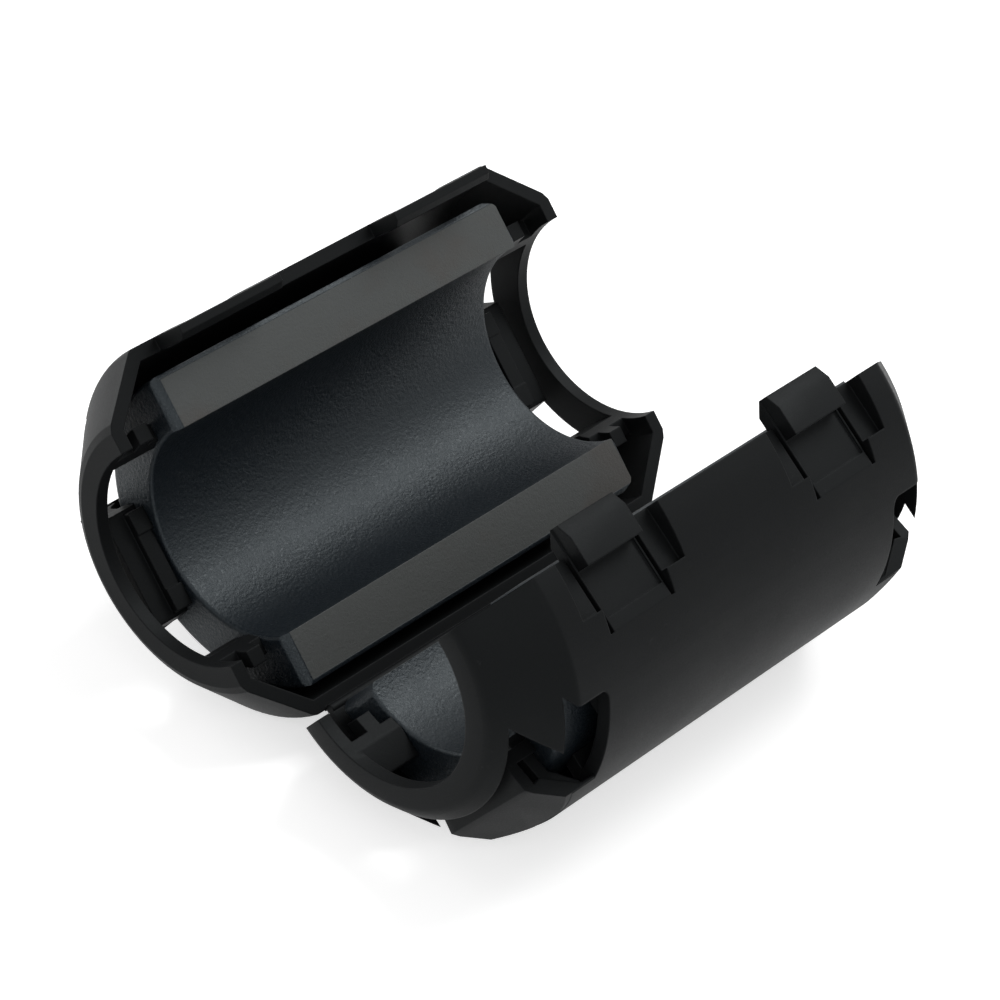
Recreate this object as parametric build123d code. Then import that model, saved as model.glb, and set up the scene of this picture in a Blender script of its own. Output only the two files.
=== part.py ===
from build123d import *
import os
from math import cos, radians, sin, sqrt

# Clip-on ferrite core for a round cable, standing open like a book.
# Each half is built flat: X runs along the bore, Y points to the latch side,
# Z points out of the parting face and the body hangs below it.

# Ferrite core, one half ring in each half of the case
core_length = 28.2
bore_radius = 6.45
core_wall = 3.25
core_shift = 0.2
core_face_drop = 0.05
core_far_round = 0.9
core_edge_bevel = 0.3
core_mouth_bevel_length = 0.8
core_mouth_bevel_depth = 0.6

# Case, a black moulding round the core, and the room that it leaves
case_wall = 0.85
case_gap = 0.95
end_space = 4.0
mouth_clearance = 0.15
end_ring_width = 1.5
end_taper_length = 3.6
end_edge_bevel = 0.25
taper_edge_round = 0.6
rim_drop = 0.2
core_seat_gap = 0.05

# Hinge along one rim and the angle at which the case stands open
open_angle = 80.3
hinge_offset = 0.1
hinge_bead_radius = 0.3
hinge_web_thickness = 0.3
hinge_end_margin = 0.9
hinge_clearance = 0.1

# Rails along the inside of the case that the core lies on
rail_count = 4
rail_spacing = 34.0
rail_thickness = 1.0
rail_end_margin = 2.0

# Collars between the mouth and the core, with a post on each
collar_wall = 1.0
collar_cut_off = 5.9
collar_drop = 2.2
collar_post_drop = 1.25
collar_post_from_end = 2.1
collar_post_length = 1.0

# Windows round the retaining tongue at each end
window_narrow_half_width = 6.5
window_wide_half_width = 9.0
window_step_from_end = 3.0
window_root_from_end = 5.9
window_corner_round = 0.5
window_ceiling = 4.8

# Retaining tongue that presses on the end of the core
tongue_half_width = 3.8
tongue_tip_half_width = 3.1
tongue_wall = 0.9
tongue_plate = 0.75
tongue_stand_off = 0.4
tongue_knee_rise = 1.9
tongue_tip_clearance = 0.1
tongue_root_overlap = 0.5
bar_half_width = 2.7
bar_height = 0.8
bar_from_tip = 0.5
bar_core_gap = 0.2
bump_length = 0.9

# Two snap hooks on one rim and two catch loops on the other
latch_from_end = 9.45
arm_half_width = 2.3
arm_thickness = 0.75
arm_clearance = 0.2
arm_slot = 0.3
arm_depth = 4.85
arm_reach = 1.45
barb_inset = 0.1
barb_underside = 1.2
barb_bevel = 0.45
barb_skin = 0.05
arm_relief = 0.15
pocket_half_width = 4.1
pocket_depth = 3.5
pad_margin = 0.85
loop_side_gap = 0.15
loop_reach = 2.4
loop_bar_height = 1.05
loop_bevel = 0.35
window_clearance = 0.25

# How far a cutting shape runs past what it opens
margin = 1.0

# Places that follow from the driving sizes
core_radius = bore_radius + core_wall
case_length = core_length + 2 * end_space
case_radius = core_radius + case_gap + case_wall
mouth_radius = bore_radius + mouth_clearance
half_length = case_length / 2
half_core = core_length / 2
ring_radius = mouth_radius + end_ring_width
taper_slope = (case_radius - ring_radius) / end_taper_length
rim_inner = case_radius - case_wall
rim_outer = sqrt(case_radius**2 - rim_drop**2)
hinge_y = -(case_radius + hinge_offset)
hinge_length = case_length - 2 * (end_taper_length + hinge_end_margin)
core_latch_edge = core_radius - core_shift
arm_inner = core_latch_edge + arm_clearance
arm_outer = arm_inner + arm_thickness
latch_places = (latch_from_end - half_length, half_length - latch_from_end)
half_tilt = (180 - open_angle) / 2
hinge_height = case_radius + hinge_y * sin(radians(half_tilt))


def block(x_range, y_range, z_range):
    """A box between two values along each axis, in either order."""
    spans = [sorted(pair) for pair in (x_range, y_range, z_range)]
    size = [high - low for low, high in spans]
    middle = [(high + low) / 2 for low, high in spans]
    return Pos(*middle) * Box(*size)


def rod(radius, x_range):
    """A round bar about the bore axis."""
    start, end = sorted(x_range)
    return Pos((start + end) / 2, 0, 0) * Rot(0, 90, 0) * Cylinder(radius, end - start)


def prism(outline, half_width):
    """A section in the YZ plane drawn out to both sides along X."""
    face = make_face(Polyline(*[(0, y, z) for y, z in outline], close=True))
    return extrude(face, half_width, dir=(1, 0, 0), both=True)


def turned(points, rounding):
    """Solid turned about the bore axis, its seam at the top; rounding maps a corner to its radius."""
    outline = make_face(Polyline(*points, close=True))
    for (x, y), radius in rounding.items():
        corner = outline.vertices().sort_by_distance((x, y, 0))[0]
        outline = fillet(corner, radius)
    return Rot(90, 0, 0) * revolve(outline, Axis.X, 360)


def below(level):
    """Everything under a height, as far as the case reaches."""
    reach = case_length + case_radius
    return block((-reach, reach), (-reach, reach), (-reach, level))


def case_envelope():
    """The outside of the closed case as one turned solid."""
    taper_start = half_length - end_taper_length
    points = [
        (-half_length, 0),
        (-half_length, ring_radius - end_edge_bevel),
        (-half_length + end_edge_bevel, ring_radius + taper_slope * end_edge_bevel),
        (-taper_start, case_radius),
        (taper_start, case_radius),
        (half_length - end_edge_bevel, ring_radius + taper_slope * end_edge_bevel),
        (half_length, ring_radius - end_edge_bevel),
        (half_length, 0),
    ]
    return turned(points, {points[3]: taper_edge_round, points[4]: taper_edge_round})


def case_cavity():
    """The inside of the closed case, one wall in from the outside all over."""
    slant_wall = case_wall * sqrt(1 + taper_slope**2)
    end = half_length - case_wall
    end_radius = ring_radius + taper_slope * case_wall - slant_wall
    taper_run = (rim_inner - ring_radius + slant_wall) / taper_slope
    taper_start = half_length - taper_run
    points = [
        (-end, 0),
        (-end, end_radius),
        (-taper_start, rim_inner),
        (taper_start, rim_inner),
        (end, end_radius),
        (end, 0),
    ]
    return turned(points, {})


def window_cut(side):
    """Opening in the back wall round a retaining tongue, cut along the draw of the mould."""
    near = half_length - case_wall
    step = half_length - window_step_from_end
    root = half_length - window_root_from_end
    points = [
        (near, window_narrow_half_width),
        (step, window_narrow_half_width),
        (step, window_wide_half_width),
        (root, window_wide_half_width),
        (root, -window_wide_half_width),
        (step, -window_wide_half_width),
        (step, -window_narrow_half_width),
        (near, -window_narrow_half_width),
    ]
    outline = make_face(Polyline(*[(side * x, y) for x, y in points], close=True))
    root_corners = outline.vertices().group_by(Axis.X)[0 if side > 0 else -1]
    outline = fillet(root_corners, window_corner_round)
    floor = case_radius + margin
    return Pos(0, 0, -floor) * extrude(outline, floor - window_ceiling, dir=(0, 0, 1))


def tongue(side, envelope):
    """Springy tongue: the wall runs on past the window, bends in and stands up before the core."""
    plate_back = end_space - tongue_stand_off
    plate_front = plate_back - tongue_plate
    root = window_root_from_end + tongue_root_overlap
    tip_depth = mouth_radius + tongue_tip_clearance
    knee_depth = case_radius - tongue_knee_rise
    inner_knee_depth = knee_depth - tongue_wall / 2
    skin = case_radius - tongue_wall
    past_skin = case_radius + margin
    side_view = [
        (root, past_skin),
        (plate_front + tongue_knee_rise + margin, past_skin),
        (plate_front, knee_depth),
        (plate_front, tip_depth),
        (plate_back, tip_depth),
        (plate_back, inner_knee_depth),
        (plate_back + skin - inner_knee_depth, skin),
        (root, skin),
    ]
    profile = [(side * (half_length - x), 0, -depth) for x, depth in side_view]
    body = extrude(make_face(Polyline(*profile, close=True)), tongue_half_width, dir=(0, 1, 0), both=True)
    front_view = [
        (0, tongue_tip_half_width, -tip_depth),
        (0, tongue_half_width, -knee_depth),
        (0, tongue_half_width, -past_skin),
        (0, -tongue_half_width, -past_skin),
        (0, -tongue_half_width, -knee_depth),
        (0, -tongue_tip_half_width, -tip_depth),
    ]
    mask = extrude(make_face(Polyline(*front_view, close=True)), half_length, dir=(side, 0, 0))
    body = body & mask & envelope
    plate_middle = side * (half_length - plate_back + tongue_plate / 2)
    bar_top = -(tip_depth + bar_from_tip)
    bar_z = (bar_top - bar_height, bar_top)
    body += block((plate_middle, side * (half_core + bar_core_gap)), (-bar_half_width, bar_half_width), bar_z)
    for edge in (-1, 1):
        bump_y = (edge * bar_half_width, edge * (bar_half_width - bump_length))
        body += block((plate_middle, side * (half_core + core_seat_gap)), bump_y, bar_z)
    return body


def collars(side):
    """Two pieces of a short tube between the mouth and the core, each with a post on top."""
    outer = mouth_radius + collar_wall
    stretch = (side * (half_length - case_wall), side * (half_core + core_seat_gap))
    ring = rod(outer, stretch) - rod(mouth_radius, stretch)
    post_start = half_length - collar_post_from_end
    post_x = (side * post_start, side * (post_start - collar_post_length))
    pieces = []
    for edge in (-1, 1):
        y_range = (edge * collar_cut_off, edge * outer)
        low = block(stretch, y_range, (-outer, -collar_drop))
        post = block(post_x, y_range, (-outer, -collar_post_drop))
        pieces.append(ring & (low + post))
    return pieces


def rails():
    """Ribs along the back of the case that the core lies on."""
    seat = core_radius + core_seat_gap
    half_rail = half_core - rail_end_margin
    x_range = (-half_rail, half_rail)
    ribs = []
    for index in range(rail_count):
        angle = (index - (rail_count - 1) / 2) * rail_spacing
        middle = seat * sin(radians(angle)) - core_shift
        y_range = (middle - rail_thickness / 2, middle + rail_thickness / 2)
        rib = rod(case_radius - case_wall / 2, x_range) & block(x_range, y_range, (-case_radius, 0))
        ribs.append(rib - Pos(0, -core_shift, 0) * rod(seat, x_range))
    return ribs


def plain_case_half():
    """One half of the case without its hinge and latch."""
    envelope = case_envelope()
    half = envelope - case_cavity() - rod(mouth_radius, (-half_length, half_length))
    half = half & below(-rim_drop)
    for side in (-1, 1):
        half -= window_cut(side)
        half += tongue(side, envelope)
        for collar in collars(side):
            half += collar
    for rib in rails():
        half += rib
    return half


def hinge_line(radius, length):
    """Round bar along the hinge."""
    return Pos(0, hinge_y, 0) * rod(radius, (-length / 2, length / 2))


def catch_loop(x):
    """Loop that stands past the rim, for a barb to spring out under its bar."""
    section = [
        (rim_inner, -rim_drop),
        (rim_inner, loop_reach - loop_bevel),
        (rim_inner + loop_bevel, loop_reach),
        (rim_outer, loop_reach),
        (rim_outer, -rim_drop),
    ]
    return Pos(x, 0, 0) * prism(section, pocket_half_width - loop_side_gap)


def barb_window(x):
    """Hole through loop and wall that takes the barb."""
    half_width = arm_half_width + window_clearance
    height = (-arm_reach - window_clearance, loop_reach - loop_bar_height)
    return block((x - half_width, x + half_width), (arm_inner, case_radius + margin), height)


def hook_pad(x, envelope):
    """Thicker flat wall behind a latch pocket, clear of the core."""
    half_width = pocket_half_width + pad_margin
    height = (-arm_depth - pad_margin, -rim_drop)
    return block((x - half_width, x + half_width), (arm_inner, case_radius), height) & envelope


def hook_cuts(x):
    """Pocket for the catch loop, the flat of the arm and the two slots that free it."""
    top = arm_reach + margin
    past = case_radius + margin
    flat_half = arm_half_width + arm_slot
    pocket = block((x - pocket_half_width, x + pocket_half_width), (arm_outer, past), (-pocket_depth, top))
    flat = block((x - flat_half, x + flat_half), (arm_outer, past), (-arm_depth, top))
    cuts = [pocket, flat]
    for edge in (-1, 1):
        slot_x = (x + edge * arm_half_width, x + edge * flat_half)
        cuts.append(block(slot_x, (core_latch_edge, past), (-arm_depth, top)))
    return cuts


def hook(x):
    """The part of a snap hook above the rim, its barb and the thinned face below it."""
    arm = block((x - arm_half_width, x + arm_half_width), (arm_inner, arm_outer), (-barb_underside, arm_reach))
    barb_outer = case_radius - barb_skin
    section = [
        (arm_inner + barb_bevel, arm_reach),
        (barb_outer - barb_bevel, arm_reach),
        (barb_outer, arm_reach - 2 * barb_bevel),
        (barb_outer, -barb_underside),
        (arm_inner + barb_bevel, -barb_underside),
    ]
    return arm + Pos(x, 0, 0) * prism(section, arm_half_width - barb_inset)


def arm_relief_cut(x):
    """Shallow hollow in the outer face of an arm, under its barb."""
    half_width = arm_half_width - barb_inset
    height = (pad_margin - arm_depth, -barb_underside)
    return block((x - half_width, x + half_width), (arm_outer - arm_relief, case_radius), height)


def catch_half():
    """Half of the case with the catch loops and the hinge bead."""
    half = plain_case_half()
    for x in latch_places:
        half += catch_loop(x)
        half -= barb_window(x)
    web_z = (-rim_drop - hinge_web_thickness, -rim_drop)
    half += block((-hinge_length / 2, hinge_length / 2), (hinge_y, -rim_inner), web_z)
    half += hinge_line(hinge_bead_radius, hinge_length)
    return half


def hook_half():
    """Half of the case with the snap hooks."""
    half = plain_case_half()
    envelope = case_envelope()
    for x in latch_places:
        half += hook_pad(x, envelope)
        for cut in hook_cuts(x):
            half -= cut
        half += hook(x)
        half -= arm_relief_cut(x)
    return half - hinge_line(hinge_bead_radius + hinge_clearance, case_length)


def face_bevels():
    """Wedges that bevel the core's parting face along its outer edges and at both ends."""
    top = -core_face_drop
    wedge = [(-core_edge_bevel, top), (margin, top), (margin, top - core_edge_bevel - margin)]
    cuts = []
    for side in (-1, 1):
        cuts.append(prism([(side * (core_radius + out), z) for out, z in wedge], half_core + margin))
        outline = [(side * (half_core + out), 0, z) for out, z in wedge]
        face = make_face(Polyline(*outline, close=True))
        cuts.append(extrude(face, core_radius + margin, dir=(0, 1, 0), both=True))
    return cuts


def core_half():
    """One half ring of ferrite, bevelled at one end and rounded at the other."""
    mouth = bore_radius + core_mouth_bevel_depth
    bore_end = half_core - core_mouth_bevel_length
    far_corner = (half_core, core_radius)
    points = [
        (-bore_end, bore_radius),
        (-half_core, mouth),
        (-half_core, core_radius - core_edge_bevel),
        (-half_core + core_edge_bevel, core_radius),
        far_corner,
        (half_core, mouth),
        (bore_end, bore_radius),
    ]
    half = turned(points, {far_corner: core_far_round}) & below(-core_face_drop)
    for cut in face_bevels():
        half -= cut
    return Pos(0, -core_shift, 0) * half


def stand(solid):
    """Turns a flat half about the hinge line to where it stands, latch side to +Y."""
    return Pos(0, 0, hinge_height) * Rot(half_tilt, 0, 0) * Pos(0, -hinge_y, 0) * solid


catch_case = stand(catch_half())
hook_case = mirror(stand(hook_half()), Plane.XZ)
catch_core = stand(core_half())
hook_core = mirror(catch_core, Plane.XZ)

os.makedirs("parts", exist_ok=True)
pieces = {
    "catch_case_half": catch_case,
    "hook_case_half": hook_case,
    "catch_side_core": catch_core,
    "hook_side_core": hook_core,
}
for name, solid in pieces.items():
    export_step(solid, f"parts/{name}.step")
    print(name, round(solid.volume, 1), "mm3")
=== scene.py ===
import logging
import math
from dataclasses import dataclass, field
from enum import Enum
from typing import Any, Callable, Optional, Union

import bmesh
import bpy
from mathutils import Matrix, Vector


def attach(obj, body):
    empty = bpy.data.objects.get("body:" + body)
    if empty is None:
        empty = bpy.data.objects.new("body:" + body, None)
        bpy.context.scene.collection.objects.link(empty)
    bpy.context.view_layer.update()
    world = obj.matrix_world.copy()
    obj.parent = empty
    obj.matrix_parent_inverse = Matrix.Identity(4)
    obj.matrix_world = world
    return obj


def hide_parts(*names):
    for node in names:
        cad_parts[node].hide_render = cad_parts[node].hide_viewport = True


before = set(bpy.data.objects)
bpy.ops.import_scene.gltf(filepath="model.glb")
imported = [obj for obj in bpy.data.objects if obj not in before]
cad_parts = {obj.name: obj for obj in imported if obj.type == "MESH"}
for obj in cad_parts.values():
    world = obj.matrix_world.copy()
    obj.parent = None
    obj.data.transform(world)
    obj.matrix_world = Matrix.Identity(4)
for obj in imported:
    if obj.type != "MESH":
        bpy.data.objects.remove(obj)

log = logging.getLogger("ferrite_clip")

MM = 0.001
NEAR = 0.01
"""How near, in millimetres, a point counts as being at a place."""
MERGE = 0.0008
"""How near, in millimetres, two points count as one."""
FACING = 0.9
"""How much of a face's normal lies along an axis that it counts as facing."""
MEAN = 0.5
"""The middle value of a noise."""
REFRACTION = 1.5
"""The refractive index of the plastic and of the ferrite."""
WHITE = (1.0, 1.0, 1.0, 1.0)
Number = Union[float, "Expr"]
Pair = tuple[float, float]
Triple = tuple[float, float, float]
Rounding = tuple[float, int]
"""The width of a rounded corner in millimetres, and the number of steps that make it."""
PlaceTest = Callable[[Vector, Vector], bool]
Sockets = dict[Union[str, int], Any]


class Side(Enum):
    """The two halves of the clip, by the latch part of each. The value is the half's side along Y."""

    CATCH = 1
    HOOK = -1

    @property
    def body(self) -> str:
        """The name of the CAD body of this half."""
        return f"{self.name.lower()}_half"

    @property
    def case_node(self) -> str:
        """The name of the CAD node of this half's moulding."""
        return f"{self.name.lower()}_case_half"

    @property
    def core_node(self) -> str:
        """The name of the CAD node of this half's ferrite."""
        return f"{self.name.lower()}_side_core"


@dataclass(frozen=True)
class Stand:
    """How the open halves stand: where a half's own flat frame lies in the row frame.

    In the flat frame X runs along the bore, Y to the latch side and Z out of the parting face.
    """

    case_radius: float = 11.5
    hinge_offset: float = 0.1
    open_angle: float = 80.3
    half_length: float = 18.1

    @property
    def tilt(self) -> float:
        """The turn of a half about the hinge, in radians."""
        return math.radians((180 - self.open_angle) / 2)

    @property
    def hinge_height(self) -> float:
        """Height of the hinge line over the floor, in millimetres."""
        return self.case_radius - (self.case_radius + self.hinge_offset) * math.sin(self.tilt)

    def placement(self, side: Side) -> Matrix:
        """The matrix from a half's flat frame, in metres, to the row frame.

        Args:
            side: Which half.

        Returns:
            The matrix, which mirrors Y for the hook half.
        """
        lift = Matrix.Translation((0, 0, self.hinge_height * MM))
        turn = Matrix.Rotation(self.tilt, 4, "X")
        to_hinge = Matrix.Translation((0, (self.case_radius + self.hinge_offset) * MM, 0))
        mirror = Matrix.Diagonal((1, side.value, 1, 1))
        return mirror @ lift @ turn @ to_hinge

    def bore(self, side: Side, shift: float) -> Triple:
        """A point of a half's bore axis in the row frame, in metres.

        Args:
            side: Which half.
            shift: How far the axis lies from the case's own axis towards the hinge, in millimetres.

        Returns:
            The point midway between the two ends.
        """
        return tuple(self.placement(side) @ Vector((0, -shift * MM, 0)))


class Expr:
    """A value in a shader tree that is written as an ordinary expression."""

    def __init__(self, shader: "Shader", socket: bpy.types.NodeSocket) -> None:
        """Wraps a socket of a shader's tree."""
        self.shader = shader
        self.socket = socket

    def _math(self, operation: str, *values: Number, clamp: bool = False) -> "Expr":
        """Adds a Math node on these values."""
        return self.shader.node(
            "ShaderNodeMath", {"operation": operation, "use_clamp": clamp}, dict(enumerate(values))
        )["Value"]

    def __add__(self, other: Number) -> "Expr":
        """Sum."""
        return self._math("ADD", self, other)

    __radd__ = __add__

    def __sub__(self, other: Number) -> "Expr":
        """Difference."""
        return self._math("SUBTRACT", self, other)

    def __rsub__(self, other: Number) -> "Expr":
        """Difference, from a number."""
        return self._math("SUBTRACT", other, self)

    def __mul__(self, other: Number) -> "Expr":
        """Product."""
        return self._math("MULTIPLY", self, other)

    __rmul__ = __mul__

    def __truediv__(self, other: Number) -> "Expr":
        """Quotient."""
        return self._math("DIVIDE", self, other)

    def __rtruediv__(self, other: Number) -> "Expr":
        """Quotient, of a number."""
        return self._math("DIVIDE", other, self)

    def clamp(self) -> "Expr":
        """The value kept between 0 and 1."""
        return self._math("ADD", self, 0.0, clamp=True)

    def rise(self, low: float, high: float) -> "Expr":
        """A soft step.

        Args:
            low: The value at which the step starts.
            high: The value at which it ends.

        Returns:
            0 at low, 1 at high, smooth between.
        """
        return self.shader.node(
            "ShaderNodeMapRange",
            {"interpolation_type": "SMOOTHSTEP"},
            {"Value": self, "From Min": low, "From Max": high},
        )["Result"]


class Outputs:
    """The outputs of a node by name, each as an expression."""

    def __init__(self, shader: "Shader", made: bpy.types.Node) -> None:
        """Keeps a node of a shader's tree."""
        self.shader = shader
        self.made = made

    def __getitem__(self, name: str) -> Expr:
        """One output, among those in use.

        Args:
            name: The output's name.

        Returns:
            The output.
        """
        for socket in self.made.outputs:
            if socket.name == name and socket.enabled:
                return Expr(self.shader, socket)
        raise KeyError(name)


class Shader:
    """The node tree of a material or a world, built by expressions."""

    def __init__(self, owner: Union[bpy.types.Material, bpy.types.World]) -> None:
        """Empties the owner's tree.

        Args:
            owner: What the tree belongs to.
        """
        self.owner = owner
        self.owner.use_nodes = True
        self.tree = self.owner.node_tree
        self.tree.nodes.clear()

    @classmethod
    def new_material(cls, name: str) -> "Shader":
        """The tree of a new material."""
        return cls(bpy.data.materials.new(name))

    def seen_directly(self) -> "Expr":
        """1 for rays of the camera, of reflections and of transmission, 0 for all others."""
        rays = self.node("ShaderNodeLightPath")
        return (rays["Is Camera Ray"] + rays["Is Glossy Ray"] + rays["Is Transmission Ray"]).clamp()

    def node(
        self,
        kind: str,
        settings: Optional[dict[str, Any]] = None,
        sockets: Optional[Sockets] = None,
    ) -> Outputs:
        """Adds any node.

        Args:
            kind: The node's type.
            settings: Its settings, which are set before its sockets.
            sockets: Values or expressions of its inputs, by name or place.

        Returns:
            The node's outputs.
        """
        made = self.tree.nodes.new(kind)
        for key, value in (settings or {}).items():
            setattr(made, key, value)
        for key, value in (sockets or {}).items():
            socket = self._input(made, key)
            if isinstance(value, Expr):
                self.tree.links.new(value.socket, socket)
            else:
                socket.default_value = value
        return Outputs(self, made)

    @staticmethod
    def _input(made: bpy.types.Node, key: Union[str, int]) -> bpy.types.NodeSocket:
        """An input by place, or by name among those in use.

        Args:
            made: The node.
            key: The input's place or name.

        Returns:
            The input.
        """
        if isinstance(key, int):
            return made.inputs[key]
        for socket in made.inputs:
            if socket.name == key and socket.enabled:
                return socket
        raise KeyError(f"{made.bl_idname} has no input {key}")

    def place(self) -> Expr:
        """The object coordinates, in metres of the row frame."""
        return self.node("ShaderNodeTexCoord")["Object"]

    def moved(self, point: Expr, offset: Triple, turn: Triple) -> Expr:
        """Coordinates about another origin and turned.

        Args:
            point: The coordinates.
            offset: The new origin, in metres.
            turn: The turn about X, Y and Z, in radians.

        Returns:
            The new coordinates.
        """
        shifted = self.node(
            "ShaderNodeVectorMath", {"operation": "SUBTRACT"}, {0: point, 1: offset}
        )["Vector"]
        return self.node(
            "ShaderNodeMapping", {"vector_type": "POINT"}, {"Vector": shifted, "Rotation": turn}
        )["Vector"]

    def split(self, point: Expr) -> tuple[Expr, Expr, Expr]:
        """The three coordinates of a vector."""
        parts = self.node("ShaderNodeSeparateXYZ", None, {0: point})
        return parts["X"], parts["Y"], parts["Z"]

    def noise(self, point: Expr, size: float, detail: float = 3.0, rough: float = 0.55) -> Expr:
        """Cloudy noise.

        Args:
            point: The coordinates.
            size: The size of a patch, in millimetres.
            detail: Octaves of finer noise.
            rough: Share that each finer octave keeps.

        Returns:
            Values round 0.5.
        """
        return self.node(
            "ShaderNodeTexNoise",
            {"noise_dimensions": "3D"},
            {"Vector": point, "Scale": 1 / (size * MM), "Detail": detail, "Roughness": rough},
        )["Fac"]

    def cells(self, point: Expr, size: float) -> Expr:
        """A random value for each cell of a grain.

        Args:
            point: The coordinates.
            size: The size of a grain, in millimetres.

        Returns:
            Values from 0 to 1.
        """
        sockets = {"Vector": point, "Scale": 1 / (size * MM)}
        colour = self.node("ShaderNodeTexVoronoi", None, sockets)["Color"]
        return self.node("ShaderNodeSeparateXYZ", None, {0: colour})["X"]

    def mix(self, factor: Number, low: Any, high: Any) -> Expr:
        """A colour between two others.

        Args:
            factor: 0 for the first, 1 for the second.
            low: The first colour, a triple or an expression.
            high: The second colour.

        Returns:
            The mixed colour.
        """
        sockets: Sockets = {"Factor": factor}
        for key, value in (("A", low), ("B", high)):
            sockets[key] = value if isinstance(value, Expr) else (*value, 1.0)
        return self.node("ShaderNodeMix", {"data_type": "RGBA", "clamp_factor": True}, sockets)["Result"]

    def bump(self, height: Expr, depth: float, strength: float, under: Expr) -> Expr:
        """A normal from a height.

        Args:
            height: The height, from 0 to 1.
            depth: How much a height of 1 is, in millimetres.
            strength: Share of the effect.
            under: A normal that this one adds to.

        Returns:
            The normal.
        """
        sockets = {"Height": height, "Distance": depth * MM, "Strength": strength, "Normal": under}
        return self.node("ShaderNodeBump", None, sockets)["Normal"]

    def rounded(self, radius: float, samples: int) -> Expr:
        """A normal that softens the edges.

        Args:
            radius: The edges' radius, in millimetres.
            samples: How many rays look for the edges.

        Returns:
            The normal.
        """
        return self.node("ShaderNodeBevel", {"samples": samples}, {"Radius": radius * MM})["Normal"]

    def finish(self, sockets: Sockets) -> bpy.types.Material:
        """Ends the tree in a principled surface.

        Args:
            sockets: Values or expressions of the surface's inputs.

        Returns:
            The material.
        """
        surface = self.node("ShaderNodeBsdfPrincipled", None, sockets)["BSDF"]
        self.node("ShaderNodeOutputMaterial", None, {"Surface": surface})
        return self.owner


@dataclass(frozen=True)
class MouldedBlack:
    """Black nylon with the fine sparked grain of its mould, and light scuffs from handling.

    Sizes are in millimetres. A band is the two values of a noise between which its marks fade in.
    """

    colour: Triple = (0.0048, 0.0051, 0.0054)
    worn: Triple = (0.03, 0.03, 0.031)
    roughness: float = 0.52
    cloud_roughness: float = 0.14
    grain_roughness: float = 0.2
    shine: float = 0.09
    tint: Triple = (0.9, 0.98, 1.0)
    cloud: float = 5.0
    grain: float = 0.09
    grain_depth: float = 0.012
    grain_strength: float = 0.5
    scuff: float = 0.7
    scuff_band: Pair = (0.62, 0.78)
    scuff_strength: float = 0.4
    scuffed_area: float = 4.0
    scuffed_band: Pair = (0.45, 0.65)
    edge_round: float = 0.12

    def material(self, name: str) -> bpy.types.Material:
        """Makes the finish.

        Args:
            name: The material's name.

        Returns:
            The material.
        """
        shader = Shader.new_material(name)
        place = shader.place()
        cloud = shader.noise(place, self.cloud, detail=3.0)
        fine = shader.noise(place, self.grain, detail=2.0)
        marks = shader.noise(place, self.scuff, detail=4.0, rough=0.7).rise(*self.scuff_band)
        scuff = marks * shader.noise(place, self.scuffed_area, detail=2.0).rise(*self.scuffed_band)
        cloudy = (cloud - MEAN) * self.cloud_roughness
        grainy = (fine - MEAN) * self.grain_roughness
        softened = shader.rounded(self.edge_round, samples=6)
        return shader.finish({
            "Base Color": shader.mix(scuff * self.scuff_strength, self.colour, self.worn),
            "Roughness": (self.roughness + cloudy + grainy).clamp(),
            "IOR": REFRACTION,
            "Specular IOR Level": self.shine,
            "Specular Tint": (*self.tint, 1.0),
            "Normal": shader.bump(fine, self.grain_depth, self.grain_strength, softened),
        })


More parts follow.
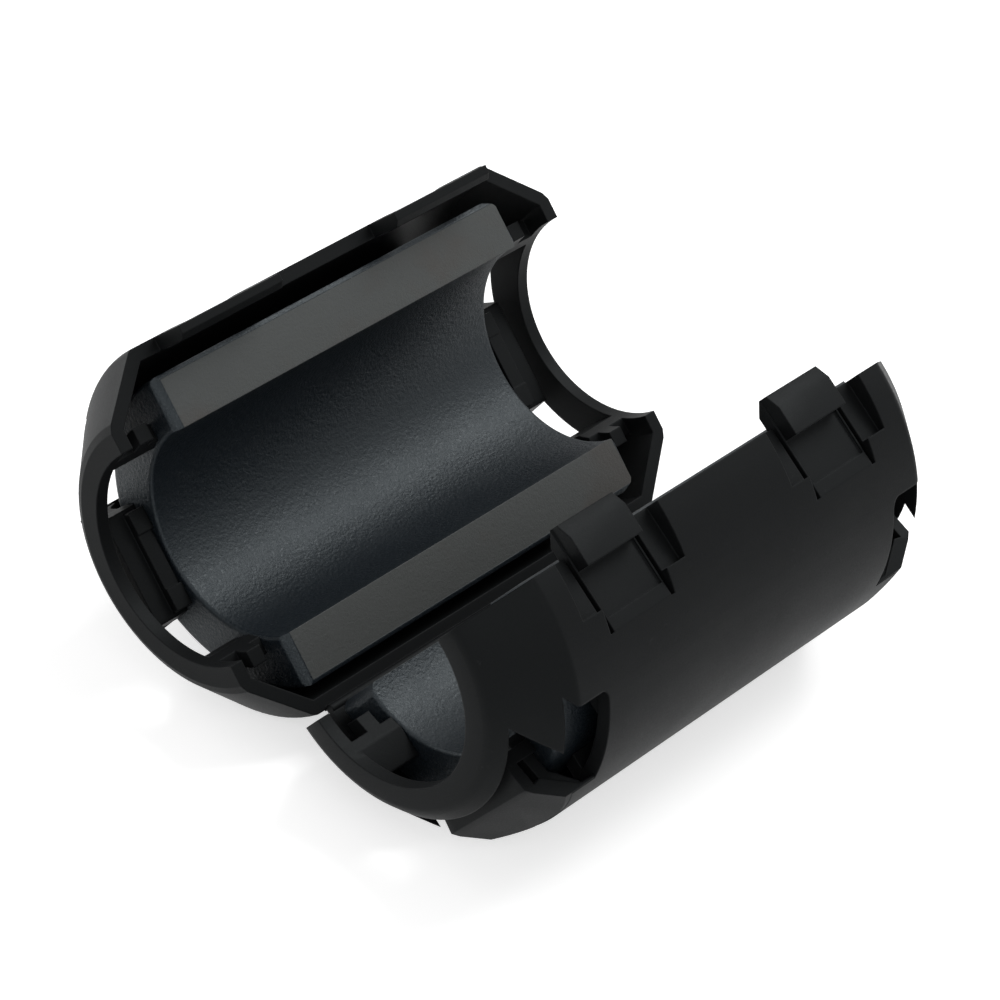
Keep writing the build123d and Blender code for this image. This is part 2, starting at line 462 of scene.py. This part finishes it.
@dataclass(frozen=True)
class SinteredFerrite:
    """Grey-black ferrite: ground parting faces and bevels, and a darker sintered bore whose grains get
    painted glints in the base colour and a glossier finish.

    Sizes are in millimetres. A band is the two values of a noise between which its marks fade in, and
    the face band is the two depths under the ground face between which the bore's look gives way.
    """

    ground: Triple = (0.044, 0.045, 0.043)
    worn: Triple = (0.052, 0.053, 0.05)
    fired: Triple = (0.002, 0.004, 0.0065)
    painted_glint: Triple = (0.02, 0.023, 0.026)
    stain: Triple = (0.046, 0.04, 0.035)
    shine: float = 0.4
    tint: Triple = (0.86, 0.96, 1.0)
    roughness: float = 0.46
    cloud_roughness: float = 0.1
    face_roughness: float = 0.1
    spark_gloss: float = 0.08
    face_band: Pair = (0.03, 0.01)
    face_flatness: float = 0.6
    cloud: float = 3.5
    stain_size: float = 6.0
    stain_band: Pair = (0.52, 0.7)
    stain_strength: float = 0.85
    mottle: float = 0.22
    grain: float = 0.11
    grain_share: float = 0.4
    grain_depth: float = 0.05
    spark_band: Pair = (0.75, 1.0)
    painted_glint_strength: float = 0.3
    edge_round: float = 0.08

    def material(
        self, name: str, stand: Stand, side: Side, shift: float, face_drop: float
    ) -> bpy.types.Material:
        """Makes the finish for one half ring.

        Args:
            name: The material's name.
            stand: How the halves stand.
            side: Which half, for the place of its parting face.
            shift: How far the ring lies from the case's axis towards the hinge, in millimetres.
            face_drop: How far the ground face lies under the parting plane, in millimetres.

        Returns:
            The material.
        """
        shader = Shader.new_material(name)
        place = shader.place()
        flat = shader.moved(place, stand.bore(side, shift), (-side.value * stand.tilt, 0, 0))
        _, _, height = shader.split(flat)
        low, high = self.face_band
        face = (height / MM).rise(-face_drop - low, -face_drop - high)
        cloud = shader.noise(place, self.cloud, detail=4.0)
        stains = shader.noise(place, self.stain_size, detail=3.0).rise(*self.stain_band) * face
        fine = shader.noise(place, self.mottle, detail=3.0, rough=0.65)
        grains = shader.cells(place, self.grain)
        # Painted glints: some bore grains are lighter in the base colour, and the same grains are also
        # glossier in the roughness.
        glinting_grains = grains.rise(*self.spark_band) * (1 - face)
        base = shader.mix(glinting_grains * self.painted_glint_strength, self.fired, self.painted_glint)
        clean = shader.mix(cloud, self.ground, self.worn)
        ground = shader.mix(stains * self.stain_strength, clean, self.stain)
        height_of_grain = (fine + grains * self.grain_share) * (1 - face * self.face_flatness)
        cloudy = (cloud - MEAN) * self.cloud_roughness
        rough = self.roughness + cloudy + face * self.face_roughness - glinting_grains * self.spark_gloss
        softened = shader.rounded(self.edge_round, samples=4)
        return shader.finish({
            "Base Color": shader.mix(face, base, ground),
            "Roughness": rough.clamp(),
            "IOR": REFRACTION,
            "Specular IOR Level": self.shine,
            "Specular Tint": (*self.tint, 1.0),
            "Normal": shader.bump(height_of_grain, self.grain_depth, 1.0, softened),
        })


@dataclass(frozen=True)
class PaleSheet:
    """The plain white sheet that the part stands on, which keeps the part's shadow."""

    glow: float = 0.62
    diffuse: Triple = (0.8, 0.8, 0.8)

    def material(self, name: str) -> bpy.types.Material:
        """Makes the finish: part glow and part lit paper to the camera, lit paper to the object.

        Args:
            name: The material's name.

        Returns:
            The material.
        """
        shader = Shader.new_material(name)
        lit = shader.node("ShaderNodeBsdfDiffuse", None, {"Color": (*self.diffuse, 1.0)})["BSDF"]
        glow = shader.node("ShaderNodeEmission", None, {"Color": WHITE, "Strength": self.glow})["Emission"]
        both = shader.node("ShaderNodeAddShader", None, {0: lit, 1: glow})["Shader"]
        sockets = {0: shader.seen_directly(), 1: lit, 2: both}
        surface = shader.node("ShaderNodeMixShader", None, sockets)["Shader"]
        shader.node("ShaderNodeOutputMaterial", None, {"Surface": surface})
        return shader.owner


def dress(node: str, material: bpy.types.Material) -> None:
    """Gives a CAD node a material in all its slots.

    Args:
        node: The node's name.
        material: The material.
    """
    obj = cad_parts[node]
    if not obj.material_slots:
        obj.data.materials.append(material)
    for slot in obj.material_slots:
        slot.material = material
    log.info("dressed %s", node)


class Part(Enum):
    """The kinds of element that an edit selects, by the name that bmesh gives them."""

    POINTS = "verts"
    EDGES = "edges"
    FACES = "faces"


class Workpiece:
    """A mesh on the bench, shaped in edit mode. All its sizes and places are in millimetres."""

    MODES = {Part.POINTS: "VERT", Part.EDGES: "EDGE", Part.FACES: "FACE"}
    LOOSE = 0.0005
    """How near two points of a CAD node's loose triangles count as one."""
    FLAT_WEIGHT = 60
    """How strongly the large faces set the shading, in percent."""

    def __init__(self, obj: bpy.types.Object, name: str) -> None:
        """Takes an object and names it."""
        self.obj = obj
        self.obj.name = self.obj.data.name = name

    @classmethod
    def box(cls, name: str, low: Triple, high: Triple, turn: float = 0.0) -> "Workpiece":
        """A block between two corners.

        Args:
            name: The piece's name.
            low: The corner with the lowest coordinates.
            high: The corner with the highest coordinates.
            turn: Its turn about its own middle along X, in radians.

        Returns:
            The block.
        """
        bpy.ops.object.select_all(action="DESELECT")
        middle = [(a + b) / 2 * MM for a, b in zip(low, high)]
        size = [(b - a) * MM for a, b in zip(low, high)]
        bpy.ops.mesh.primitive_cube_add(size=1, location=middle, scale=size, rotation=(turn, 0, 0))
        piece = cls(bpy.context.object, name)
        piece.apply_place()
        return piece

    @classmethod
    def bar(cls, name: str, radius: float, start: float, end: float, sides: int = 192) -> "Workpiece":
        """A round bar along the X axis.

        Args:
            name: The piece's name.
            radius: Its radius.
            start: Where it starts along X.
            end: Where it ends along X.
            sides: How many flat sides make it round.

        Returns:
            The bar.
        """
        bpy.ops.object.select_all(action="DESELECT")
        bpy.ops.mesh.primitive_cylinder_add(
            vertices=sides,
            radius=radius * MM,
            depth=(end - start) * MM,
            location=((start + end) / 2 * MM, 0, 0),
            rotation=(0, math.pi / 2, 0),
        )
        piece = cls(bpy.context.object, name)
        piece.apply_place()
        return piece

    @classmethod
    def sheet(cls, name: str, low: Pair, high: Pair) -> "Workpiece":
        """A flat rectangle in the parting plane.

        Args:
            name: The piece's name.
            low: Its corner with the lowest X and Y.
            high: Its corner with the highest X and Y.

        Returns:
            The rectangle.
        """
        bpy.ops.object.select_all(action="DESELECT")
        middle = ((low[0] + high[0]) / 2 * MM, (low[1] + high[1]) / 2 * MM, 0)
        size = ((high[0] - low[0]) * MM, (high[1] - low[1]) * MM, 1)
        bpy.ops.mesh.primitive_plane_add(size=1, location=middle)
        piece = cls(bpy.context.object, name)
        piece.obj.scale = size
        piece.apply_place()
        return piece

    @classmethod
    def copy_of(cls, node: str, name: str) -> "Workpiece":
        """A copy of a CAD node with its loose triangles merged.

        Args:
            node: The node's name.
            name: The copy's name.

        Returns:
            The copy, which stands on its own.
        """
        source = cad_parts[node]
        copy = source.copy()
        copy.data = source.data.copy()
        bpy.context.scene.collection.objects.link(copy)
        copy.parent = None
        piece = cls(copy, name)
        piece.alone()
        bpy.ops.mesh.customdata_custom_splitnormals_clear()
        piece.select(Part.POINTS)
        bpy.ops.mesh.remove_doubles(threshold=cls.LOOSE * MM)
        piece.leave()
        return piece

    def alone(self) -> None:
        """Makes this the one selected and active object, in object mode."""
        if bpy.context.object and bpy.context.object.mode != "OBJECT":
            bpy.ops.object.mode_set(mode="OBJECT")
        bpy.ops.object.select_all(action="DESELECT")
        self.obj.select_set(True)
        bpy.context.view_layer.objects.active = self.obj

    def apply_place(self) -> None:
        """Puts the object's place, turn and scale into its mesh."""
        self.alone()
        bpy.ops.object.transform_apply(location=True, rotation=True, scale=True)

    def select(self, part: Part = Part.FACES, test: Optional[PlaceTest] = None) -> None:
        """Enters edit mode and selects elements by their place.

        Args:
            part: The kind of element.
            test: Takes a point's or face's place and normal. Without it all elements are selected.
        """
        if self.obj.mode != "EDIT":
            self.alone()
            bpy.ops.object.mode_set(mode="EDIT")
        bpy.ops.mesh.select_mode(type=self.MODES[part])
        bpy.ops.mesh.select_all(action="DESELECT")
        shape = bmesh.from_edit_mesh(self.obj.data)
        for element in getattr(shape, part.value):
            if test is None or test(self._place(part, element), element.normal):
                element.select_set(True)
        shape.select_flush_mode()
        bmesh.update_edit_mesh(self.obj.data)

    @staticmethod
    def _place(part: Part, element: Any) -> Vector:
        """Where a point or the middle of a face is."""
        return (element.calc_center_median() if part is Part.FACES else element.co) / MM

    def slice(self, place: Triple, normal: Triple, cut_off: bool = False) -> None:
        """Cuts the mesh along a plane.

        Args:
            place: A point of the plane.
            normal: The plane's normal.
            cut_off: Whether what lies past the plane is taken away and the cut closed.
        """
        self.select()
        bpy.ops.mesh.bisect(
            plane_co=[value * MM for value in place],
            plane_no=normal,
            use_fill=cut_off,
            clear_outer=cut_off,
        )

    def extrude(self, offset: Union[Triple, Vector]) -> None:
        """Draws the selected faces out."""
        value = [part * MM for part in offset]
        bpy.ops.mesh.extrude_region_move(TRANSFORM_OT_translate={"value": value})

    def move(self, offset: Triple) -> None:
        """Moves what is selected."""
        bpy.ops.transform.translate(value=[part * MM for part in offset])

    def round_corners(self, width: float, steps: int) -> None:
        """Rounds the selected corners of a sheet."""
        bpy.ops.mesh.bevel(offset=width * MM, segments=steps, affect="VERTICES", profile=0.5)

    def leave(self) -> None:
        """Back to object mode."""
        bpy.ops.object.mode_set(mode="OBJECT")

    def modifier(self, kind: str, **settings: Any) -> None:
        """Adds a modifier and applies it.

        Args:
            kind: The modifier's type.
            **settings: Its settings.
        """
        self.alone()
        made = self.obj.modifiers.new(kind.lower(), kind)
        for key, value in settings.items():
            setattr(made, key, value)
        bpy.ops.object.modifier_apply(modifier=made.name)

    def combine(self, tool: "Workpiece", operation: str) -> None:
        """Cuts or clips with another workpiece, which is used up.

        Args:
            tool: The other workpiece.
            operation: DIFFERENCE or INTERSECT.
        """
        self.modifier("BOOLEAN", object=tool.obj, operation=operation, solver="EXACT")
        bpy.data.objects.remove(tool.obj)
        self.merge()

    def merge(self) -> None:
        """Merges points that lie on one another and turns all faces outwards."""
        self.select(Part.POINTS)
        bpy.ops.mesh.remove_doubles(threshold=MERGE * MM)
        self.select()
        bpy.ops.mesh.normals_make_consistent(inside=False)
        self.leave()

    def copy(self, name: str) -> "Workpiece":
        """Another with a mesh of its own.

        Args:
            name: The new piece's name.

        Returns:
            The new piece.
        """
        twin = self.obj.copy()
        twin.data = self.obj.data.copy()
        bpy.context.scene.collection.objects.link(twin)
        return Workpiece(twin, name)

    def put(self, place: Matrix) -> None:
        """Moves the piece, and turns its faces outwards again where that mirrors it.

        Args:
            place: The matrix that moves it.
        """
        self.alone()
        self.obj.matrix_world = place
        self.apply_place()
        self.select()
        if bmesh.from_edit_mesh(self.obj.data).calc_volume(signed=True) < 0:
            bpy.ops.mesh.flip_normals()
        self.leave()

    def hand_over(self, body: str, slot: str, finish: bpy.types.Material, smooth: float = 50.0) -> None:
        """Shades the piece, dresses it and lets it ride.

        Args:
            body: The CAD body that carries it.
            slot: The record's material slot, which is not used.
            finish: Its material.
            smooth: The angle in degrees past which an edge is sharp.
        """
        self.alone()
        bpy.ops.object.shade_smooth_by_angle(angle=math.radians(smooth))
        self.modifier("WEIGHTED_NORMAL", keep_sharp=True, weight=self.FLAT_WEIGHT)
        self.obj.data.materials.clear()
        self.obj.data.materials.append(finish)
        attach(self.obj, body)
        log.info("%s rides on %s", self.obj.name, body)


@dataclass
class CoreHalf:
    """One half ring of ferrite, with the small bevels of the pressed and ground piece."""

    side: Side
    stand: Stand
    finish: SinteredFerrite = field(default_factory=SinteredFerrite)
    length: float = 28.2
    bore_radius: float = 6.45
    outer_radius: float = 9.7
    shift: float = 0.2
    face_drop: float = 0.05
    near_mouth: Rounding = (0.25, 2)
    far_mouth: Rounding = (0.4, 3)
    near_corner: Rounding = (0.3, 2)
    far_corner: Rounding = (1.1, 6)
    near_face_bevel: float = 0.5
    far_face_bevel: float = 0.2
    long_face_bevel: float = 0.28
    turns: int = 120

    def build(self) -> None:
        """Turns the ring, cuts it at the parting face, bevels it and puts it in place of the CAD node."""
        half = self.length / 2
        name = f"{self.side.body}_ferrite"
        ring = Workpiece.sheet(name, (-half, -self.outer_radius), (half, -self.bore_radius))
        for x, y, rounding in (
            (-half, -self.bore_radius, self.near_mouth),
            (half, -self.bore_radius, self.far_mouth),
            (-half, -self.outer_radius, self.near_corner),
            (half, -self.outer_radius, self.far_corner),
        ):
            ring.select(Part.POINTS, lambda place, _: abs(place.x - x) + abs(place.y - y) < NEAR)
            ring.round_corners(*rounding)
        ring.select()
        bpy.ops.mesh.delete(type="ONLY_FACE")
        ring.select(Part.EDGES)
        # The operator turns clockwise about the axis, so a negative angle passes below the parting plane.
        bpy.ops.mesh.spin(steps=self.turns, angle=-math.pi, center=(0, 0, 0), axis=(1, 0, 0))
        ring.merge()
        ring.select()
        bpy.ops.mesh.fill_holes(sides=0)
        ring.merge()
        ring.select(Part.POINTS, lambda place, _: place.z > -NEAR)
        ring.move((0, 0, -self.face_drop))
        self.bevel_face(ring)
        ring.merge()
        ring.put(Matrix.Translation((0, -self.shift * MM, 0)))
        ring.put(self.stand.placement(self.side))
        material = self.finish.material(name, self.stand, self.side, self.shift, self.face_drop)
        ring.hand_over(self.side.body, "ferrite", material)
        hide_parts(self.side.core_node)

    def bevel_face(self, ring: Workpiece) -> None:
        """Cuts small bevels round the ground face: at its two ends and along its two outer edges.

        Args:
            ring: The half ring, in its flat frame.
        """
        for reach, width, along, across in (
            (self.length / 2, self.near_face_bevel, -1, 0),
            (self.length / 2, self.far_face_bevel, 1, 0),
            (self.outer_radius, self.long_face_bevel, 0, -1),
            (self.outer_radius, self.long_face_bevel, 0, 1),
        ):
            edge = reach - width
            ring.slice((along * edge, across * edge, -self.face_drop), (along, across, 1), cut_off=True)


@dataclass
class Tongue:
    """The springy tongues: each stands up near the mouth, and a land leads back to a bar with two bumps.

    Sizes along X are counted from the end of the case and depths from the parting plane.
    """

    stand: Stand
    finish: MouldedBlack
    half_width: float = 3.9
    tip_half_width: float = 3.4
    front: float = 1.5
    thickness: float = 0.75
    land_depth: float = 7.1
    land_thickness: float = 0.8
    land_end: float = 3.82
    bar_start: float = 2.8
    bar_half_width: float = 3.13
    bar_rise: float = 0.42
    bump_length: float = 1.4
    bump_rise: float = 0.12
    bump_reach: float = 0.13
    outside: tuple[Pair, ...] = ((1.5, 9.32), (1.9, 9.7), (4.45, 11.41), (6.2, 11.46))
    inside: tuple[Pair, ...] = ((2.25, 9.32), (2.75, 9.2), (4.9, 10.62), (6.2, 10.62))
    skin_radius: float = 11.47
    skin_length: float = 12.0
    edge: float = 0.09
    edge_steps: int = 2
    edge_angle: float = 35.0

    def build(self) -> None:
        """Models one tongue and puts a copy at each end of each half."""
        pattern = self.model()
        for side in Side:
            material = self.finish.material(f"{side.body}_tongues")
            for end, flip in (("near", 1), ("far", -1)):
                tongue = pattern.copy(f"{side.body}_{end}_tongue")
                tongue.put(self.stand.placement(side) @ Matrix.Diagonal((flip, 1, 1, 1)))
                tongue.hand_over(side.body, "case", material)
        bpy.data.objects.remove(pattern.obj)

    def model(self) -> Workpiece:
        """Models the tongue of the near end.

        Returns:
            The tongue, in the flat frame.
        """
        end = -self.stand.half_length
        foot = self.outside[0][1]
        back = end + self.front + self.thickness
        tongue = Workpiece.box(
            "tongue_pattern",
            (end + self.front, -self.half_width, -foot),
            (back, self.half_width, -self.land_depth),
        )
        taper = self.tip_half_width / self.half_width
        tongue.select(Part.POINTS, lambda place, _: place.z > -self.land_depth - NEAR)
        bpy.ops.transform.resize(value=(1, taper, 1), center_override=(0, 0, 0))
        under = self.land_depth + self.land_thickness
        tongue.slice((0, 0, -under), (0, 0, 1))
        tongue.select(Part.FACES, lambda place, normal: normal.x > FACING and place.z > -under)
        tongue.extrude((end + self.land_end - back, 0, 0))
        self.add_bar(tongue, end)
        self.add_wall(tongue)
        tongue.leave()
        tongue.combine(Workpiece.bar("skin", self.skin_radius, end, end + self.skin_length), "INTERSECT")
        tongue.modifier(
            "BEVEL",
            width=self.edge * MM,
            segments=self.edge_steps,
            limit_method="ANGLE",
            angle_limit=math.radians(self.edge_angle),
        )
        tongue.merge()
        return tongue

    def add_bar(self, tongue: Workpiece, end: float) -> None:
        """Raises the bar on the land, and the bumps on the bar that press on the core.

        Args:
            tongue: The tongue so far.
            end: Where the end of the case is along X.
        """
        start = end + self.bar_start
        inner = self.bar_half_width - self.bump_length
        tongue.slice((start, 0, 0), (1, 0, 0))
        for y in (-self.bar_half_width, -inner, inner, self.bar_half_width):
            tongue.slice((0, y, 0), (0, 1, 0))

        def on_bar(place: Vector) -> bool:
            """Whether a place lies within the bar, seen from above."""
            return place.x > start and abs(place.y) < self.bar_half_width

        top = -self.land_depth
        tongue.select(
            Part.FACES,
            lambda place, normal: normal.z > FACING and place.z > top - NEAR and on_bar(place),
        )
        tongue.extrude((0, 0, self.bar_rise))
        top += self.bar_rise
        tongue.select(
            Part.FACES,
            lambda place, normal: normal.z > FACING and place.z > top - NEAR and abs(place.y) > inner,
        )
        tongue.extrude((0, 0, self.bump_rise))
        tongue.select(
            Part.FACES,
            lambda place, normal: normal.x > FACING
            and place.z > -self.land_depth
            and on_bar(place)
            and abs(place.y) > inner,
        )
        tongue.extrude((self.bump_reach, 0, 0))

    def add_wall(self, tongue: Workpiece) -> None:
        """Leads the foot of the upright back into the wall of the case.

        Each step draws the foot along the outside line, then sets its inner edge on the inside line.

        Args:
            tongue: The tongue so far.
        """
        foot = self.outside[0][1]
        tongue.select(Part.FACES, lambda place, normal: normal.z < -FACING and place.z < NEAR - foot)
        steps = zip(self.outside, self.outside[1:], self.inside, self.inside[1:])
        for (out_x, out_depth), (next_x, next_depth), (in_x, in_depth), (last_x, last_depth) in steps:
            drawn = Vector((next_x - out_x, 0, out_depth - next_depth))
            tongue.extrude(drawn)
            wanted = Vector((last_x - in_x, 0, in_depth - last_depth))
            middle = next_x + (in_x - out_x) / 2 - self.stand.half_length
            shape = bmesh.from_edit_mesh(tongue.obj.data)
            for point in shape.verts:
                if point.select and point.co.x / MM > middle:
                    point.co += (wanted - drawn) * MM
            bmesh.update_edit_mesh(tongue.obj.data)


@dataclass
class CatchCase:
    """The moulding with the catch loops, which keeps its CAD solid."""

    finish: MouldedBlack
    side: Side = Side.CATCH

    def build(self) -> None:
        """Dresses the CAD node."""
        dress(self.side.case_node, self.finish.material(f"{self.side.body}_moulding"))


@dataclass
class HookCase:
    """The moulding with the snap hooks. Their heads get the long slope on the inside.

    The slope's foot and top are given as the place along Y and the height over the parting face.
    """

    stand: Stand
    finish: MouldedBlack
    side: Side = Side.HOOK
    places: tuple[float, ...] = (-8.65, 8.65)
    cut_half_width: float = 2.6
    slope_foot: Pair = (9.7, 0.65)
    slope_top: Pair = (10.45, 1.45)
    reach: float = 3.0
    smooth: float = 30.0

    def build(self) -> None:
        """Copies the CAD node, slopes the heads and puts the copy in its place."""
        name = f"{self.side.body}_moulding"
        case = Workpiece.copy_of(self.side.case_node, name)
        rise = self.slope_top[1] - self.slope_foot[1]
        run = self.slope_top[0] - self.slope_foot[0]
        angle = math.atan2(rise, run)
        middle_y = (self.slope_foot[0] + self.slope_top[0]) / 2 - math.sin(angle) * self.reach / 2
        middle_z = (self.slope_foot[1] + self.slope_top[1]) / 2 + math.cos(angle) * self.reach / 2
        half = self.reach / 2
        for x in self.places:
            wedge = Workpiece.box(
                "head_cut",
                (x - self.cut_half_width, middle_y - half, middle_z - half),
                (x + self.cut_half_width, middle_y + half, middle_z + half),
                angle,
            )
            wedge.put(self.stand.placement(self.side))
            case.combine(wedge, "DIFFERENCE")
        case.hand_over(self.side.body, "case", self.finish.material(name), self.smooth)
        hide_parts(self.side.case_node)


@dataclass(frozen=True)
class SoftBox:
    """A square lamp that looks at the part."""

    name: str
    place: Triple
    size: float
    power: float

    def build(self) -> None:
        """Adds the lamp; place and size are in millimetres and the power is in watts."""
        data = bpy.data.lights.new(self.name, "AREA")
        data.shape = "SQUARE"
        data.size = self.size * MM
        data.energy = self.power
        lamp = bpy.data.objects.new(self.name, data)
        bpy.context.scene.collection.objects.link(lamp)
        lamp.location = Vector(self.place) * MM
        lamp.rotation_euler = (-lamp.location).to_track_quat("-Z", "Y").to_euler()


@dataclass
class Studio:
    """The floor, the lamps, the white surroundings and the camera.

    Places and sizes are in millimetres, and the camera's reach in metres.
    """

    floor_size: float = 3000.0
    world_level: float = 0.35
    camera_place: Triple = (-141.144, -121.578, 141.702)
    camera_view: Triple = (0.619537, 0.532966, -0.5763)
    camera_right: Triple = (0.672006, -0.739545, 0.038488)
    camera_lens: float = 143.43
    camera_sensor: float = 36.0
    camera_reach: Pair = (0.01, 20.0)
    lamps: tuple[SoftBox, ...] = (
        SoftBox("key_lamp", (300, -60, 400), 260, 1.4),
        SoftBox("left_lamp", (-60, 420, 120), 240, 0.7),
        SoftBox("near_lamp", (-300, -300, 320), 300, 0.5),
    )

    def build(self) -> None:
        """Makes everything round the part."""
        self.floor()
        self.world()
        for lamp in self.lamps:
            lamp.build()
        self.camera()
        bpy.context.scene.view_settings.view_transform = "Standard"

    def floor(self) -> None:
        """Adds the sheet that the part stands on."""
        bpy.ops.object.select_all(action="DESELECT")
        bpy.ops.mesh.primitive_plane_add(size=self.floor_size * MM, location=(0, 0, 0))
        floor = bpy.context.object
        floor.name = "floor_sheet"
        floor.data.materials.append(PaleSheet().material("floor_sheet"))

    def world(self) -> None:
        """White to the camera and in reflections, a plain soft level to everything else."""
        world = bpy.data.worlds.new("white_surroundings")
        bpy.context.scene.world = world
        shader = Shader(world)
        kind = "ShaderNodeBackground"
        soft = shader.node(kind, None, {"Color": WHITE, "Strength": self.world_level})["Background"]
        white = shader.node(kind, None, {"Color": WHITE, "Strength": 1.0})["Background"]
        sockets = {0: shader.seen_directly(), 1: soft, 2: white}
        surface = shader.node("ShaderNodeMixShader", None, sockets)["Shader"]
        shader.node("ShaderNodeOutputWorld", None, {"Surface": surface})

    def camera(self) -> None:
        """Puts the camera where the photograph was taken from."""
        data = bpy.data.cameras.new("camera")
        data.lens = self.camera_lens
        data.sensor_width = self.camera_sensor
        data.clip_start, data.clip_end = self.camera_reach
        camera = bpy.data.objects.new("camera", data)
        bpy.context.scene.collection.objects.link(camera)
        back = -Vector(self.camera_view).normalized()
        right = Vector(self.camera_right)
        right = (right - back * right.dot(back)).normalized()
        up = back.cross(right)
        turn = Matrix((right, up, back)).transposed().to_4x4()
        camera.matrix_world = Matrix.Translation(Vector(self.camera_place) * MM) @ turn
        bpy.context.scene.camera = camera


def main() -> None:
    """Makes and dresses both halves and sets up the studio."""
    logging.basicConfig(level=logging.INFO, format="%(name)s: %(message)s")
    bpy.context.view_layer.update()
    stand = Stand()
    for side in Side:
        CoreHalf(side, stand).build()
    black = MouldedBlack()
    CatchCase(black).build()
    HookCase(stand, black).build()
    Tongue(stand, black).build()
    Studio().build()


if __name__ == "__main__":
    main()
